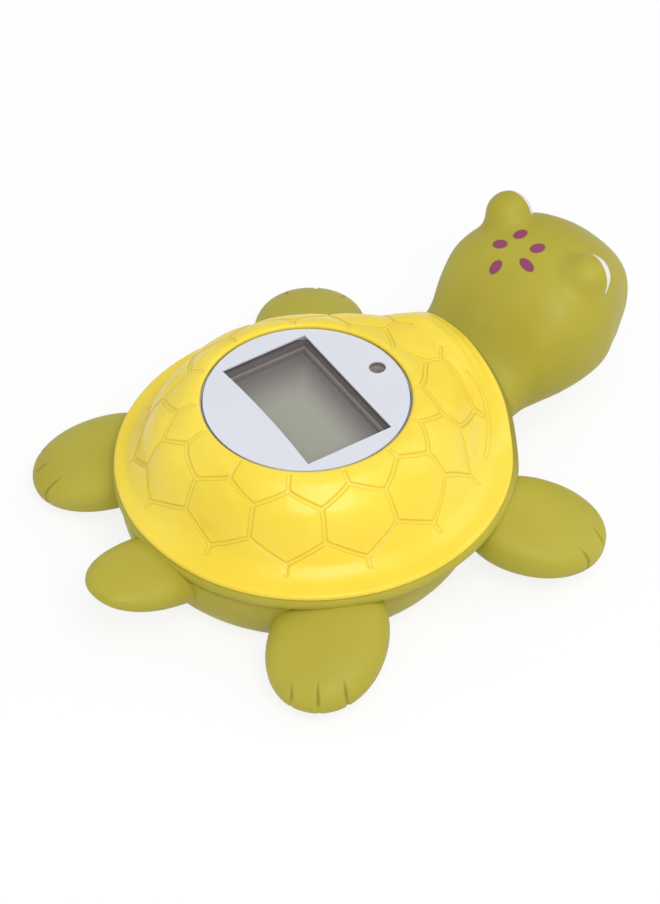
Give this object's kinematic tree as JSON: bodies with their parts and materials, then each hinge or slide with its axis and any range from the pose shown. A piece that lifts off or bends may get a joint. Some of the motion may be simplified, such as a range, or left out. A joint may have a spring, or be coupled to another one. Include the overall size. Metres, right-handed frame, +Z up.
{
  "type": "floating pool thermometer",
  "caption": "Turtle-shaped floating thermometer: hollow vinyl body with flippers and head, and a round lift-out display module in the shell with a bayonet battery cover underneath.",
  "frame": {"origin": "on the ground under the middle of the object's box, with the belly flat on z = 0", "axes": "+Z up, +Y toward the head, +X to the turtle's right"},
  "size_m": [0.111, 0.1494, 0.0461],
  "materials": {
    "yellow_vinyl": "satin moulded soft vinyl",
    "green_vinyl": "satin moulded soft vinyl",
    "white_abs": "fine moulded satin",
    "label_film": "smooth printed film",
    "clear_plastic": "clear polished",
    "dark_plastic": "matt moulded",
    "grey_silicone": "smooth soft silicone",
    "lcd_glass": "glossy over a grey reflector",
    "grey_foam": "soft foam",
    "zebra_rubber": "layered elastomer",
    "board_laminate": "solder mask",
    "steel": "bright nickel or stainless",
    "black_resin": "glossy cast resin",
    "led_resin": "milky cast resin",
    "red_wire": "smooth insulation",
    "black_wire": "smooth insulation",
    "blue_wire": "smooth insulation"
  },
  "bodies": {
    "turtle": {"carapace": "yellow_vinyl", "belly_tub": "green_vinyl", "head": "green_vinyl", "front_left_flipper": "green_vinyl", "front_right_flipper": "green_vinyl", "rear_left_flipper": "green_vinyl", "rear_right_flipper": "green_vinyl", "tail": "green_vinyl", "seat_ring": "white_abs", "belly_seal": "grey_silicone"},
    "gasket": {"module_gasket": "grey_silicone"},
    "module": {"case_upper": "white_abs", "case_lower": "white_abs", "case_seal": "grey_silicone", "face_lens": "clear_plastic", "face_label": "label_film", "display_frame": "dark_plastic", "lcd_panel": "lcd_glass", "lcd_backing": "grey_foam", "zebra_strips": "zebra_rubber", "circuit_board": "board_laminate", "board_screws": "steel", "controller_blob": "black_resin", "timing_crystal": "steel", "alarm_led": "led_resin", "coin_cell": "steel", "contact_negative": "steel", "contact_positive": "steel", "battery_leads": "red_wire", "probe_cap": "steel", "thermistor": "black_resin", "probe_leads": "black_wire", "water_contacts": "steel", "contact_leads": "blue_wire"},
    "cover": {"battery_cover": "white_abs", "cover_oring": "grey_silicone"}
  },
  "joints": [
    {"name": "module_lift", "type": "slide", "parent": "turtle", "child": "gasket", "axis": [0, 0, 1], "range_m": [0, 0.045]},
    {"name": "module_turn", "type": "hinge", "parent": "gasket", "child": "module", "pos_m": [-0.00142, -0.01443, 0.03], "axis": [0, 0, 1], "continuous": true},
    {"name": "battery_cover_turn", "type": "hinge", "parent": "module", "child": "cover", "pos_m": [-0.00196, -0.01839, 0.004], "axis": [0, 0, -1], "range_deg": [0, 45]}
  ]
}
